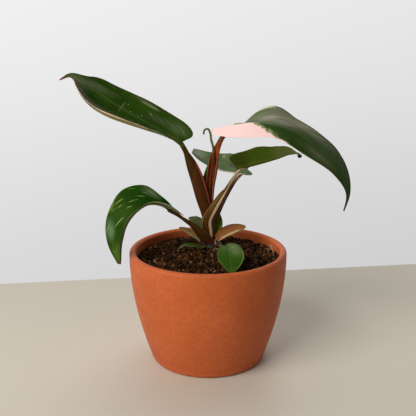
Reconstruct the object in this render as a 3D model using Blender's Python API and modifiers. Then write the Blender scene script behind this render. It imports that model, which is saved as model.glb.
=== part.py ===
"""A young philodendron with pink-edged leaves, growing in a terracotta pot.

Origin at the centre of the pot's foot, +X to the right, +Y to the back, +Z up.
The pot's dimensions are metres. The plant is laid out in millimetres: each
leaf by the points that its midrib passes through and by half widths at equal
steps along it, and each stalk by its path and radii. The meshes are scaled to
metres as they are made.
"""

from math import cos, pi, radians, sin

import bmesh
import bpy
import numpy as np

MM = 0.001
GAP = 0.0003

# Pot
POT_HEIGHT = 0.095
RIM_RADIUS = 0.0655
BELLY_TOP = 0.088
FOOT_INSET = 0.0182
BELLY_CURVE = 1.8
WALL = 0.0055
FLOOR = 0.007
FOOT_ROUND = 0.0035
LIP_ARC_STEPS = 5
ROUND_STEPS = 3
WALL_STEPS = 9
INSIDE_STEPS = 6
TURN_STEPS = 40

# Soil and the stem's crown in it
SOIL_EDGE = 0.088
SOIL_TOP = 0.0962
CROWN_X = 0.001
CROWN_Y = 0.0095
CROWN_TOP = 0.0972
CROWN_RADIUS = 0.0090
ROOT_TIP = 0.062
ROOT_RADIUS = 0.004
CROWN_SIDES = 24

# Leaf blades, in millimetres or as shares of the blade's length
BLADE_THICKNESS = 0.6
BLADE_ROWS = 15
SCALE_ROWS = 10
BLADE_COLUMNS = 7
BASE_SHARE = 0.25
BASE_ROUND = 0.12
LOBE_REACH = 0.22
LOBE_TAPER = 1.5
LOBE_SWEEP = 1.3
LEAST_CURL = 0.001

# Leaf stalks
STALK_RINGS = 18
STALK_POINTS = 7
LEVEL_REACH = 0.12
ROD_FLATNESS = 0.8
LINE_SAMPLES = 300

LEAVES = {
    "upper_left_leaf": dict(
        midrib=[(-22, 16, 182), (-40, 20, 191.5), (-62, 26, 203), (-84, 31, 216),
                (-102, 35, 227.5), (-116, 38, 234.5), (-124.5, 38, 231)],
        face=(0, -0.72, 0.69),
        left=(4, 8, 17, 24, 29, 29.5, 22, 6.5, 0.5),
        right=(14.5, 16.8, 18, 18.3, 17.2, 15, 12.2, 4.2, 0.5),
        fold=((0, 0, -8, -14, -18, -20, -18, -8, 0), (4, 2, -2, -4, 0)),
        curl=((60, 85, 105, 112, 112, 112, 106, 85, 30), (15, 10, 5, 0, 0)),
        lobe=(2, 15),
    ),
    "upper_right_leaf": dict(
        midrib=[(17, 9, 197), (35, 6, 199.5), (62, 2, 196), (86, -3, 182),
                (105, -7, 164), (113, -10, 144), (110, -11, 130)],
        face=(0, -0.45, 0.89),
        left=(9, 25, 28.5, 21, 20, 19.5, 12.3, 3.4, 0.5),
        right=(8, 17, 14.8, 15.2, 15.2, 13, 9, 4.2, 0.5),
        fold=((-60, -22, -3, -6, -6, -5, -3, 3, 8), (10, -8, -10, -10, -10, -8, -6, -2, 3)),
        curl=((0, 0), (0, 0)),
        lobe=(2, 33),
    ),
    "right_leaf": dict(
        midrib=[(24, 12, 161.2), (40, 16, 164), (57, 19, 168), (70, 21, 171.5),
                (76, 22, 171), (78, 21, 169.5), (76, 19.5, 168)],
        face=(0, 0.30, 0.95),
        left=(8, 12, 14, 14, 12, 9, 6, 2.5, 0.5),
        right=(18, 17, 19, 18.5, 16, 14.5, 10.5, 6, 2),
        fold=((30, 30), (36, 36, 36, 35, 34, 32, 26, -20, -50)),
        curl=((0, 0), (10, 0)),
        lobe=(12, 16),
    ),
    "back_leaf": dict(
        midrib=[(35, 58, 151), (25, 62, 153), (13, 66, 156), (-2, 69, 160), (-14, 70, 165)],
        face=(0, -0.6, 0.8),
        left=(9, 11.5, 14, 15, 14.5, 13, 11, 8.5, 3.5),
        right=(9, 10, 11.5, 11, 8.5, 6.5, 5.5, 4.5, 2.5),
        fold=((15, 15), (5, 5)),
        curl=((0, 0), (0, 0)),
        lobe=(17, 10),
    ),
    "lower_left_leaf": dict(
        midrib=[(-30, -6, 131), (-39, -10, 136), (-48, -14, 137), (-57, -18, 132),
                (-65, -21, 122), (-69, -22, 109), (-71.3, -22, 88.5)],
        face=(0, -0.34, 0.94),
        left=(7, 9, 14, 17, 18, 16, 11, 5, 0.5),
        right=(3, 6.5, 16, 20.5, 18.8, 16.2, 13.3, 8.5, 2),
        fold=((15, 42, 48, 45, 38), (32, 32, 32, 32, 32)),
        curl=((0, 0), (5, 5)),
        lobe=(24, 4),
    ),
    "front_small_leaf": dict(
        midrib=[(14, -24, 105), (16, -30, 103), (17, -37, 99), (18, -45, 94), (18, -52, 91)],
        face=(0, -0.3, 0.95),
        left=(5, 9.8, 11.5, 11.8, 11.2, 9.3, 6.4, 3.3, 0.5),
        right=(4, 7.6, 9.4, 9.9, 9.4, 7.9, 5.6, 3.1, 0.5),
        fold=((5, 5), (5, 5)),
        curl=((-10, -10), (-10, -10)),
        lobe=(6, 3),
    ),
    "back_small_leaf": dict(
        midrib=[(-4, 26, 104), (-7.5, 28, 108), (-12, 30, 111), (-17, 32, 112.5)],
        face=(-0.3, -0.5, 0.8),
        left=(2, 4, 5.2, 5.5, 5, 4.2, 3.2, 2, 0.5),
        right=(2, 4, 5.2, 5.5, 5, 4.2, 3.2, 2, 0.5),
        fold=((5, 5), (5, 5)),
        curl=((-10, -10), (-10, -10)),
        lobe=(2, 2),
    ),
}

# Leaf stalks. Each is a rod at the top and, where `trough` is 1, a sheath bent
# round the younger stalks inside it, open towards `opening`.
STALKS = {
    "upper_left_stalk": dict(
        path=[(1, 9.5, 97.5), (0.4, 10.1, 107), (-0.4, 10.2, 119), (-4.1, 9.9, 135.5),
              (-10.2, 12, 156), (-14.3, 14, 165.5), (-18, 15.8, 173.3), (-22, 18, 180)],
        opening=(0.7, 0.7, 0),
        radius=(3.1, 3.7, 4.1, 4.5, 5, 5.6, 6, 6, 5.9, 5.6, 4.9, 3.6, 2.3, 2.2),
        trough=(1, 1, 1, 1, 1, 1, 1, 1, 1, 1, 1, 0.8, 0, 0),
        wrap=110,
        wall=0.8,
    ),
    "upper_right_stalk": dict(
        path=[(1, 9.5, 97.5), (0.9, 10.5, 112), (1.4, 11, 130), (2, 11.2, 146), (3.7, 11, 158.5),
              (5, 10.8, 168.5), (7, 10.3, 176.5), (11, 9.8, 185.5), (17.8, 9.8, 193.8)],
        opening=(-0.55, -0.8, 0.2),
        radius=(2.0, 2.3, 2.6, 3.2, 3.8, 4.2, 3.4, 2.2, 1.8),
        trough=(1, 1, 1, 1, 1, 1, 0.6, 0, 0),
        wrap=115,
        wall=0.7,
    ),
    "right_stalk": dict(
        path=[(1, 9.5, 97.5), (0.6, 9.2, 107), (0.2, 8, 118), (4.3, 6.2, 127), (9.6, 6.6, 135.5),
              (15.3, 8.2, 144), (21, 10, 152.5), (25.9, 12.3, 159)],
        opening=(-0.7, 0.7, 0),
        radius=(4.2, 4.9, 5.3, 5.6, 5.5, 5.2, 4.8, 4.3, 3.4, 1.9, 1.7, 1.6, 1.6),
        trough=(1, 1, 1, 1, 1, 1, 1, 1, 0.8, 0, 0, 0, 0),
        wrap=110,
        wall=0.8,
    ),
    "lower_left_stalk": dict(
        path=[(1, 9.5, 97.5), (0.2, 8.8, 100), (-2.5, 6.5, 104), (-7.5, 3, 110), (-12.5, 0, 116),
              (-18, -2.5, 120.5), (-24, -4.5, 125), (-32, -6.5, 129.5)],
        opening=(0.8, 0.6, 0),
        radius=(5.4, 5.4, 4.9, 3.8, 2.9, 2.2, 1.8, 1.5),
        trough=(1, 1, 1, 1, 0.9, 0.5, 0, 0),
        wrap=110,
        wall=0.8,
    ),
    "back_stalk": dict(
        path=[(2.9, 16.6, 97.5), (4.5, 21, 106), (8, 28, 114), (17, 40, 131), (27, 52, 144),
              (33.5, 57.5, 148.6)],
        opening=(0, -0.6, 0.8),
        radius=(1.5, 1.4, 1.3, 1.3, 1.3, 1.2),
        trough=(0, 0),
    ),
    "back_shoot": dict(
        path=[(-1.5, 16.6, 97.5), (-1.7, 17.5, 115), (-2, 18, 132), (-3, 18, 147),
              (-1.5, 18, 156), (0.8, 18, 164)],
        opening=(0.3, -0.9, 0),
        radius=(1.3, 1.4, 1.8, 2.4, 1.8, 0.6),
        trough=(0, 0),
    ),
    "back_small_stalk": dict(
        path=[(-4.6, 14.2, 97.6), (-4.8, 15.4, 100.6), (-4.8, 20, 102.5), (-4.2, 24.9, 103.2)],
        opening=(1, 0, 0),
        radius=(1.2, 1.1, 1.0, 0.9),
        trough=(0, 0),
    ),
    "front_small_stalk": dict(
        path=[(3, 2.3, 97.5), (7, -7, 99.3), (11, -16, 102), (14, -24.5, 103.2)],
        opening=(1, 0, 0),
        radius=(1.3, 1.2, 1.1, 1.0),
        trough=(0, 0),
    ),
    "new_leaf_roll": dict(
        path=[(1.1, 9.6, 97.8), (0.8, 10.3, 112), (1.2, 10.6, 130), (1.6, 10.7, 146), (3, 10.5, 158.5),
              (4.3, 10.2, 168.5), (4.2, 10.2, 178.6), (2.6, 10.4, 184.5), (1.7, 10.4, 190.3),
              (-0.2, 10.4, 193.6), (-3, 10.4, 192.4), (-3.5, 10.4, 189)],
        opening=(-0.6, -0.8, 0),
        radius=(0.8, 0.8, 0.9, 1.1, 1.2, 1.2, 1.2, 1.2, 1.1, 1, 0.9, 0.7),
        trough=(0, 0),
        rings=36,
    ),
}

# Bud scales and other short leaves round the crown
SCALES = {
    "right_bud_scale": dict(
        midrib=[(8.4, 7.8, 97.8), (10.5, 7.4, 101.5), (16, 7, 105.4), (23.5, 6.5, 108.8), (31.5, 6, 111.6)],
        face=(-0.25, -0.55, 0.8),
        left=(3, 4.8, 6, 6.4, 6.4, 6, 5, 3.6, 1.4),
        right=(3, 4.4, 5.4, 6, 6.2, 5.8, 4.8, 3.4, 1.2),
        fold=((28, 20), (28, 20)),
        curl=((20, 20), (20, 20)),
        lobe=(0, 0),
    ),
    "left_bud_scale": dict(
        midrib=[(-6.4, 10.6, 97.8), (-9.5, 10.6, 100.5), (-14, 10, 103.9), (-19, 9, 107.5), (-24, 8, 110.4)],
        face=(0.3, -0.5, 0.8),
        left=(2.4, 3.6, 4.4, 4.6, 4.4, 3.8, 2.9, 1.9, 0.7),
        right=(2.4, 3.6, 4.4, 4.6, 4.4, 3.8, 2.9, 1.9, 0.7),
        fold=((28, 20), (28, 20)),
        curl=((20, 20), (20, 20)),
        lobe=(0, 0),
    ),
    "low_strip_leaf": dict(
        midrib=[(-2.6, -1.5, 97.1), (-6.5, -5.5, 98), (-13, -8.5, 100), (-20, -10, 100.6), (-24.5, -11, 98)],
        face=(0, -0.5, 0.87),
        left=(1.6, 2.5, 3, 3.1, 2.9, 2.6, 2, 1.3, 0.5),
        right=(1.6, 2.5, 3, 3.1, 2.9, 2.6, 2, 1.3, 0.5),
        fold=((10, 10), (10, 10)),
        curl=((0, 0), (0, 0)),
        lobe=(0, 0),
    ),
    "upright_small_leaf": dict(
        midrib=[(7.8, 12, 97.6), (8, 13, 103), (8.5, 14.5, 110), (9.8, 15.5, 115), (10, 16, 120)],
        face=(-0.3, -0.9, 0.3),
        left=(1, 1.3, 2.2, 3, 3.3, 3, 2.3, 1.4, 0.5),
        right=(1, 1.6, 2.8, 4, 4.2, 3.9, 3, 1.8, 0.5),
        fold=((5, 5), (5, 5)),
        curl=((10, 10), (10, 10)),
        lobe=(0, 0),
    ),
}


def clear_scene():
    for obj in list(bpy.data.objects):
        bpy.data.objects.remove(obj, do_unlink=True)


def material(name, colour, roughness):
    made = bpy.data.materials.new(name)
    made.use_nodes = True
    shader = made.node_tree.nodes["Principled BSDF"]
    shader.inputs["Base Color"].default_value = (*colour, 1)
    shader.inputs["Roughness"].default_value = roughness
    return made


def add_object(name, mesh, collection, finish=None):
    obj = bpy.data.objects.new(name, mesh)
    collection.objects.link(obj)
    if finish:
        mesh.materials.append(finish)
    mesh.shade_smooth()
    return obj


def mesh_from(name, points, faces):
    mesh = bpy.data.meshes.new(name)
    mesh.from_pydata([tuple(p) for p in points], [], faces)
    mesh.update()
    return mesh


# ---- turned pieces -------------------------------------------------------

def outer_radius(height):
    below = max(0.0, 1 - height / BELLY_TOP)
    return RIM_RADIUS - FOOT_INSET * below**BELLY_CURVE


def inner_radius(height):
    return outer_radius(height) - WALL


def arc(centre, radius, start, end, steps):
    """Points (radius, height) on an arc, from one angle to another in degrees."""
    angles = [radians(start + (end - start) * i / steps) for i in range(steps + 1)]
    return [(centre[0] + radius * cos(a), centre[1] + radius * sin(a)) for a in angles]


def even_places(start, end, steps):
    return [start + (end - start) * i / steps for i in range(steps + 1)]


def turned(name, profile, collection, finish):
    """A solid of revolution from a profile that starts and ends on the axis."""
    points = [(r, 0, z) for r, z in profile]
    mesh = bpy.data.meshes.new(name)
    mesh.from_pydata(points, [(i, i + 1) for i in range(len(points) - 1)], [])
    obj = add_object(name, mesh, collection, finish)
    screw = obj.modifiers.new("turn", "SCREW")
    screw.steps = TURN_STEPS
    screw.render_steps = TURN_STEPS
    screw.use_merge_vertices = True
    screw.merge_threshold = 0.00001
    screw.use_smooth_shade = True
    return obj


def pot_profile():
    lip = WALL / 2
    rim_height = POT_HEIGHT - lip
    inside_heights = even_places(FLOOR + FOOT_ROUND, rim_height, INSIDE_STEPS)
    inside = [(inner_radius(z), z) for z in inside_heights]
    floor_centre = (inside[0][0] - FOOT_ROUND, inside[0][1])
    floor_round = arc(floor_centre, FOOT_ROUND, -90, 0, ROUND_STEPS)
    rim = arc((RIM_RADIUS - lip, rim_height), lip, 180, 0, LIP_ARC_STEPS)
    outside = [(outer_radius(z), z) for z in even_places(rim_height, FOOT_ROUND, WALL_STEPS)]
    foot_centre = (outside[-1][0] - FOOT_ROUND, FOOT_ROUND)
    foot = arc(foot_centre, FOOT_ROUND, 0, -90, ROUND_STEPS)
    cavity = [(0, FLOOR)] + floor_round[:-1] + inside[:-1]
    return cavity + rim[:-1] + outside[:-1] + foot + [(0, 0)]


def soil_height(radius):
    """The soil is mounded towards the middle of the pot."""
    share = min(1.0, radius / inner_radius(SOIL_EDGE))
    return SOIL_EDGE + (SOIL_TOP - SOIL_EDGE) * (0.5 + 0.5 * cos(pi * share))


def soil_profile():
    edge = inner_radius(SOIL_EDGE) - GAP
    bottom = FLOOR + GAP
    top = [(radius, soil_height(radius)) for radius in even_places(0, edge, INSIDE_STEPS)]
    side_heights = even_places(SOIL_EDGE, FLOOR + FOOT_ROUND, INSIDE_STEPS)
    side = [(inner_radius(z) - GAP, z) for z in side_heights]
    low_centre = (side[-1][0] - FOOT_ROUND, bottom + FOOT_ROUND)
    low_round = arc(low_centre, FOOT_ROUND, 0, -90, ROUND_STEPS)
    return top[:-1] + side[:-1] + low_round + [(0, bottom)]


def crown_radius(height):
    """The crown narrows in a straight line from its top down to its root tip."""
    share = (height - ROOT_TIP) / (CROWN_TOP - ROOT_TIP)
    return ROOT_RADIUS + (CROWN_RADIUS - ROOT_RADIUS) * share


def crown_cone(name, bottom, top, clearance, collection, finish=None):
    builder = bmesh.new()
    bmesh.ops.create_cone(
        builder,
        cap_ends=True,
        segments=CROWN_SIDES,
        radius1=crown_radius(bottom) + clearance,
        radius2=crown_radius(top) + clearance,
        depth=top - bottom,
    )
    mesh = bpy.data.meshes.new(name)
    builder.to_mesh(mesh)
    builder.free()
    obj = add_object(name, mesh, collection, finish)
    obj.location = (CROWN_X, CROWN_Y, (top + bottom) / 2)
    return obj


def cut_hole(obj, cutter):
    cutter.hide_render = True
    cutter.display_type = "WIRE"
    cut = obj.modifiers.new("hole", "BOOLEAN")
    cut.operation = "DIFFERENCE"
    cut.object = cutter


# ---- grown pieces --------------------------------------------------------

def unit(vectors):
    return vectors / np.linalg.norm(vectors, axis=-1, keepdims=True)


def spline(knots, values, at):
    """A smooth cubic through the values at the knots, read at the places `at`."""
    values = np.asarray(values, float)
    slopes = np.gradient(values, knots, axis=0)
    span = np.clip(np.searchsorted(knots, at) - 1, 0, len(knots) - 2)
    width = (knots[span + 1] - knots[span]).reshape(-1, *[1] * (values.ndim - 1))
    t = ((at - knots[span]) / (knots[span + 1] - knots[span])).reshape(width.shape)
    start = values[span] * (1 + 2 * t) + slopes[span] * width * t
    end = values[span + 1] * (3 - 2 * t) - slopes[span + 1] * width * (1 - t)
    return start * (1 - t) ** 2 + end * t**2


def even_steps(values, shares):
    """Read values that are given at equal steps from 0 to 1."""
    return spline(np.linspace(0, 1, len(values)), values, shares)


def smooth_line(points, shares):
    """Points at shares of the length of a smooth curve through the given points."""
    points = np.asarray(points, float)
    knots = np.append(0, np.cumsum(np.linalg.norm(np.diff(points, axis=0), axis=1)))
    fine = spline(knots, points, np.linspace(0, knots[-1], LINE_SAMPLES))
    run = np.append(0, np.cumsum(np.linalg.norm(np.diff(fine, axis=0), axis=1)))
    return np.stack([np.interp(shares * run[-1], run, fine[:, k]) for k in range(3)], axis=1)


def moving_frame(tangents, start):
    """Side and face directions that follow the tangents without turning round them."""
    faces = np.empty_like(tangents)
    face = np.asarray(start, float)
    for i, tangent in enumerate(tangents):
        face = unit(face - (face @ tangent) * tangent)
        faces[i] = face
    return np.cross(tangents, faces), faces


def end_weighted(steps):
    """Shares from 0 to 1 that lie closer together near both ends."""
    even = np.linspace(0, 1, steps)
    return (even + (1 - np.cos(pi * even)) / 2) / 2


def blade_grid(leaf, rows, columns):
    """Points of a blade's upper face: rows from base to tip, columns from left to right."""
    share = end_weighted(rows)
    line = smooth_line(leaf["midrib"], share)
    tangent = unit(np.gradient(line, axis=0))
    side, face = moving_frame(tangent, leaf["face"])
    base = np.clip(share / BASE_ROUND, 0, 1)
    rounding = BASE_SHARE + (1 - BASE_SHARE) * np.sqrt(1 - (1 - base) ** 2)
    reach = np.clip(1 - share / LOBE_REACH, 0, 1)[:, None] ** LOBE_TAPER
    grid = np.empty((rows, columns, 3))
    half = columns // 2
    across = np.linspace(0, 1, half + 1)[None, :]
    for sign, key in ((-1, "left"), (1, "right")):
        part = (sign + 1) // 2
        width = (even_steps(leaf[key], share) * rounding)[:, None]
        fold = np.radians(even_steps(leaf["fold"][part], share))[:, None]
        curl = np.radians(even_steps(leaf["curl"][part], share))[:, None]
        curl = np.where(np.abs(curl) < LEAST_CURL, LEAST_CURL, curl)
        out = width * (np.sin(fold + curl * across) - np.sin(fold)) / curl
        up = width * (np.cos(fold) - np.cos(fold + curl * across)) / curl
        back = leaf["lobe"][part] * reach * (across * rounding[:, None]) ** LOBE_SWEEP
        points = (line[:, None] + sign * side[:, None] * out[..., None]
                  + face[:, None] * up[..., None] - tangent[:, None] * back[..., None])
        if sign < 0:
            grid[:, : half + 1] = points[:, ::-1]
        else:
            grid[:, half:] = points
    return grid


def blade(name, leaf, rows, collection, finish):
    grid = blade_grid(leaf, rows, BLADE_COLUMNS) * MM
    faces = []
    for row in range(rows - 1):
        for column in range(BLADE_COLUMNS - 1):
            near = row * BLADE_COLUMNS + column
            far = near + BLADE_COLUMNS
            faces.append((near, near + 1, far + 1, far))
    obj = add_object(name, mesh_from(name, grid.reshape(-1, 3), faces), collection, finish)
    thicken = obj.modifiers.new("thickness", "SOLIDIFY")
    thicken.thickness = BLADE_THICKNESS * MM
    thicken.offset = -1
    return obj


def stalk_section(radius, trough, wrap, wall):
    """Section points (side, face): a rod for trough 0, an open crescent for trough 1."""
    half_turn = radians(90 + (wrap - 90) * trough)
    angle = np.linspace(-half_turn, half_turn, STALK_POINTS)
    outer = radius * np.stack([np.sin(angle), -np.cos(angle)], axis=1)
    hollow = (radius - wall) * outer[-2:0:-1] / radius
    angle = np.linspace(pi / 2, -pi / 2, STALK_POINTS)[1:-1]
    lid = radius * np.stack([np.sin(angle), ROD_FLATNESS * np.cos(angle)], axis=1)
    return np.concatenate([outer, hollow * trough + lid * (1 - trough)])


def stalk_rings(stalk):
    """Sections along the stalk. The lowest one is level, because it stands on the crown."""
    share = np.linspace(0, 1, stalk.get("rings", STALK_RINGS))
    line = smooth_line(stalk["path"], share)
    tangent = unit(np.gradient(line, axis=0))
    upright = np.clip(1 - share / LEVEL_REACH, 0, 1)[:, None]
    tangent = unit(tangent * (1 - upright) + np.array([0, 0, 1]) * upright)
    side, face = moving_frame(tangent, stalk["opening"])
    radius = even_steps(stalk["radius"], share)
    trough = np.clip(even_steps(stalk["trough"], share), 0, 1)
    wrap = stalk.get("wrap", 90)
    wall = stalk.get("wall", 1)
    points = []
    for i, centre in enumerate(line):
        section = stalk_section(radius[i], trough[i], wrap, wall)
        points.append(centre + section[:, :1] * side[i] + section[:, 1:] * face[i])
    return np.array(points)


def stalk(name, data, collection, finish):
    grid = stalk_rings(data) * MM
    rings, count = grid.shape[:2]
    faces = [tuple(range(count))]
    for ring in range(rings - 1):
        for i in range(count):
            j = (i + 1) % count
            low = ring * count
            high = low + count
            faces.append((low + i, high + i, high + j, low + j))
    faces.append(tuple(range((rings - 1) * count, rings * count))[::-1])
    mesh = mesh_from(name, grid.reshape(-1, 3), faces)
    return add_object(name, mesh, collection, finish)


def main():
    clear_scene()
    plant = bpy.data.collections.new("potted_philodendron")
    cutters = bpy.data.collections.new("cutters")
    for collection in (plant, cutters):
        bpy.context.scene.collection.children.link(collection)

    terracotta = material("terracotta", (0.42, 0.13, 0.05), 0.75)
    earth = material("earth", (0.05, 0.025, 0.012), 0.95)
    bark = material("crown", (0.16, 0.06, 0.03), 0.7)
    blade_green = material("leaf", (0.03, 0.10, 0.02), 0.35)
    stalk_brown = material("stalk", (0.14, 0.05, 0.025), 0.45)
    scale_brown = material("scale", (0.22, 0.09, 0.05), 0.55)

    turned("pot", pot_profile(), plant, terracotta)
    soil = turned("soil", soil_profile(), plant, earth)
    crown_cone("crown_stem", ROOT_TIP, CROWN_TOP, 0, plant, bark)
    above_soil = CROWN_TOP + CROWN_RADIUS
    hole = crown_cone("planting_hole", ROOT_TIP - GAP, above_soil, GAP, cutters)
    cut_hole(soil, hole)

    for name, leaf in LEAVES.items():
        blade(name, leaf, BLADE_ROWS, plant, blade_green)
    for name, leaf in SCALES.items():
        blade(name, leaf, SCALE_ROWS, plant, scale_brown)
    for name, data in STALKS.items():
        stalk(name, data, plant, stalk_brown)


main()
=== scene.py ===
"""The looks of a young philodendron with pink-edged leaves in a terracotta pot.

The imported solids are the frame. Each leaf and stalk is rebuilt over its solid
from the same points, with veins, a keel and thin edges. The plant's points and
sizes, the threads and the chips are in millimetres. All else is in metres.
"""

from math import cos, pi, radians, sin
from types import SimpleNamespace

import bmesh
import bpy
import numpy as np
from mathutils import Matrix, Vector

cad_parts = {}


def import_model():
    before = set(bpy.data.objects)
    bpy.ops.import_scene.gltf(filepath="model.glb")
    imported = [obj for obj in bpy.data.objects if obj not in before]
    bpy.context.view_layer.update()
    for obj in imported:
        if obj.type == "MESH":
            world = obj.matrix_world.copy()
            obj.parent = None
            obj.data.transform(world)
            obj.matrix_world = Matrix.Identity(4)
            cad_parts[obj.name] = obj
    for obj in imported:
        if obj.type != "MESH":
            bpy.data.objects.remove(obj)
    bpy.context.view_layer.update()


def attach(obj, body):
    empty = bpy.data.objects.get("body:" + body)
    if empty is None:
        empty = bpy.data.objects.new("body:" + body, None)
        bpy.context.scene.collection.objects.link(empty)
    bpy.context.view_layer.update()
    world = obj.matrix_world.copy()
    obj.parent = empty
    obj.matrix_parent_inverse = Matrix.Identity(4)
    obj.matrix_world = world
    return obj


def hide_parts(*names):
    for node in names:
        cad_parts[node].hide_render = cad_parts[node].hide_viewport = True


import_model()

MM = 0.001
BODY = "root"

# Camera, placed to match the photograph
CAMERA_PLACE = (0.0, -0.55, 0.276)
CAMERA_DOWN = 14.9
CAMERA_LENS = 59.8
SENSOR = 36
NEAREST = 0.01

# Pot
POT_HEIGHT = 0.095
RIM_RADIUS = 0.0655
BELLY_TOP = 0.088
FOOT_INSET = 0.0182
BELLY_CURVE = 1.8
WALL = 0.0055
FLOOR = 0.007
FOOT_ROUND = 0.0035
TURN_STEPS = 192
INSIDE_STEPS = 20
FLOOR_ROUND_STEPS = 6
LIP_STEPS = 16
OUTSIDE_STEPS = 36
FOOT_ROUND_STEPS = 8

# Soil and crown
SOIL_EDGE = 0.088
SOIL_TOP = 0.0962
SOIL_RINGS = 60
SOIL_SECTORS = 180
BED_DEPTH = 0.0012
BED_GAP = 0.0003
BED_TONE = 0.25
BED_FOOT_GAP = 0.003
BED_FOOT_RISE = 0.0005
GRAIN_GAP = 0.0004
WAVE_PITCHES = (0.6, 1.6)
BED_WAVES = ((0.0006, 3, 0.018), (0.0003, 4, 0.006))
CROWN_PLACE = (0.001, 0.0095)
CROWN_TOP = 0.0972
CROWN_RADIUS = 0.0085
CROWN_CAP = 0.35
CROWN_ROOT = 3
CROWN_DETAIL = 4
CROWN_LUMPS = (9, 0.006)
CROWN_UNEVEN = 0.06

# Bits on the soil, in millimetres
THREAD_RINGS = 28
THREAD_SIDES = 10
THREAD_TAPER = 0.75
THREADS = (
    (0.35, [(3.7, -14.3, 97.2), (5.2, -10, 97.7), (6.6, -5.6, 97.4), (7.2, -3, 96.8)]),
    (0.4, [(6.8, -6.6, 97), (6.6, -1, 98.6), (6.0, 1.5, 100), (6.6, 1.6, 102.2), (8, 2, 103.6)]),
    (0.3, [(5, -8, 97), (8.5, -10, 97.6), (12, -9, 97.3), (14.5, -6.5, 96.8)]),
    (0.3, [(50.5, 5, 93.5), (52, 2, 96), (53.3, -3, 95.4), (53.6, -6.5, 93.6)]),
    (0.25, [(49, -3, 93.8), (51.5, -4.5, 95.6), (53.8, -9, 95.2), (53, -13, 93.4)]),
    (0.28, [(51, 10, 93), (53.2, 7, 95.2), (54, 3, 95.8), (53.6, 0, 93.8)]),
)
TEAL_CHIP = ((1.6, -1.6, 97.1), (1.7, 1.1, 0.45), 0.35)
CHIP_DETAIL = 2
CHIP_SQUARENESS = 0.6
GREEN_SHRED = ((10.3, 1.5, 98.2), (1.3, 1.2, 1.6), 0.5)

# Grains strewn over the soil, in metres
STRETCHES = (0.75, 1.25)
GRAINS = {
    "soil_clods": dict(
        seed=11, count=1300, sizes=(0.0009, 0.0025), shape=(1, 0.85, 0.75), rough=0.1,
        subdivisions=2, tones=(0.1, 0.75),
    ),
    "soil_crumbs": dict(
        seed=12, count=6000, sizes=(0.0004, 0.0011), shape=(1, 0.8, 0.7), rough=0.12,
        subdivisions=1, tones=(0.0, 0.9),
    ),
    "bark_chips": dict(
        seed=13, count=420, sizes=(0.0006, 0.0017), shape=(1.4, 0.6, 0.4), rough=0.1,
        subdivisions=1, tones=(0, 1), sink=0.0,
    ),
}

# Leaf blades, with thicknesses in millimetres
BLADE_ROWS = 110
BLADE_COLUMNS = 45
EDGE_THICKNESS = 0.22
MIDDLE_THICKNESS = 0.5
NARROW_THICKNESS = 0.25
LEAST_KEEL = 0.05
KEEL_TAPER = 0.75
KEEL_DEPTH = 1.3
GROOVE_WIDTH = 0.07
BASE_SHARE = 0.25
BASE_ROUND = 0.12
LOBE_REACH = 0.22
LOBE_TAPER = 1.5
LOBE_SWEEP = 1.3
LEAST_CURL = 0.001

# Leaf stalks
STALK_RINGS = 90
STALK_POINTS = 23
LEVEL_REACH = 0.12
ROD_FLATNESS = 0.8
THIN_EDGE = 0.85
KEEL_RUN = (0.035, 0.16)
KEEL_SINK = 0.4
KEEL_RUN_TAPER = 0.6
LINE_SAMPLES = 300

# Finishes of the crown, the threads and the two chips
GRAINY = {
    "crown": dict(
        rough=0.75, grain=(700, 4), relief=0.0005, dark=(0.02, 0.008, 0.003), light=(0.06, 0.022, 0.009),
    ),
    "husk": dict(
        rough=0.75, grain=(800, 3), relief=0.0001, dark=(0.26, 0.12, 0.05), light=(0.46, 0.26, 0.13),
    ),
    "teal_chip": dict(
        rough=0.6, grain=(700, 3), relief=0.0001, dark=(0.004, 0.045, 0.042), light=(0.01, 0.085, 0.075),
    ),
    "green_shred": dict(
        rough=0.6, grain=(700, 3), relief=0.0001, dark=(0.02, 0.028, 0.005), light=(0.05, 0.06, 0.012),
    ),
}

# Colours of marks on the leaves
PINK = (0.95, 0.655, 0.615)
PINK_LINE = (0.82, 0.47, 0.36)
CREAM = (0.5, 0.47, 0.3)
LIME = (0.22, 0.3, 0.12)
FLECK = (0.25, 0.38, 0.11)
DIM_FLECK = (0.15, 0.27, 0.06)

# Tints of the shine
WAX = (1.0, 1.0, 0.3)
WARM = (1.0, 0.75, 0.6)


def spots(colour, *places):
    """Spots of one colour, each at (along, across, length, width)."""
    return tuple((place, colour) for place in places)


# ---- leaves and stalks ----

# Each leaf has a midrib, and half widths and angles from base to tip, left half then right.
# `fold` is how far a half stands up beside the midrib and `curl` how much further it turns
# by its edge, in degrees. `lobe` reaches back at the base. Without `right`, both halves are
# as wide as `left`. A margin is (side, start, end, width, colour).
# The glows are painted sheen: lighter (spot, colour) patches laid into the colour where the leaf's gloss
# would catch light.
LEAF = dict(
    right=None, curl=((0, 0), (0, 0)), lobe=(0, 0),
    gloss=0.36, shine=0.16, veins=11, sweep=4.9, groove=0.3, quilt=0.02, waves=3, wavy=0.4, keel=1.3,
    dark=(0.009, 0.026, 0.0018), green=(0.02, 0.042, 0.005), vein=(0.035, 0.055, 0.014),
    # The pale colour laid in streaks along the veins is painted sheen.
    pale=(0.065, 0.078, 0.03), streak=0.45, patches=(), flecks=(), glows=(), zone=None,
    rib=0.05, rib_share=0.5, rib_colour=(0.055, 0.085, 0.022), margins=(),
    rim=(0.11, 0.045, 0.025), rim_share=0.6, under=(0.045, 0.075, 0.009),
    under_pale=(0.08, 0.115, 0.018), under_base=(0.045, 0.06, 0.01),
    under_end=(0.045, 0.075, 0.009), under_to=0.6, under_from=0.2, under_far=None,
    keel_colour=(0.1, 0.045, 0.015), tip=(0.1, 0.03, 0.02), tip_from=0.97,
)
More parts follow.
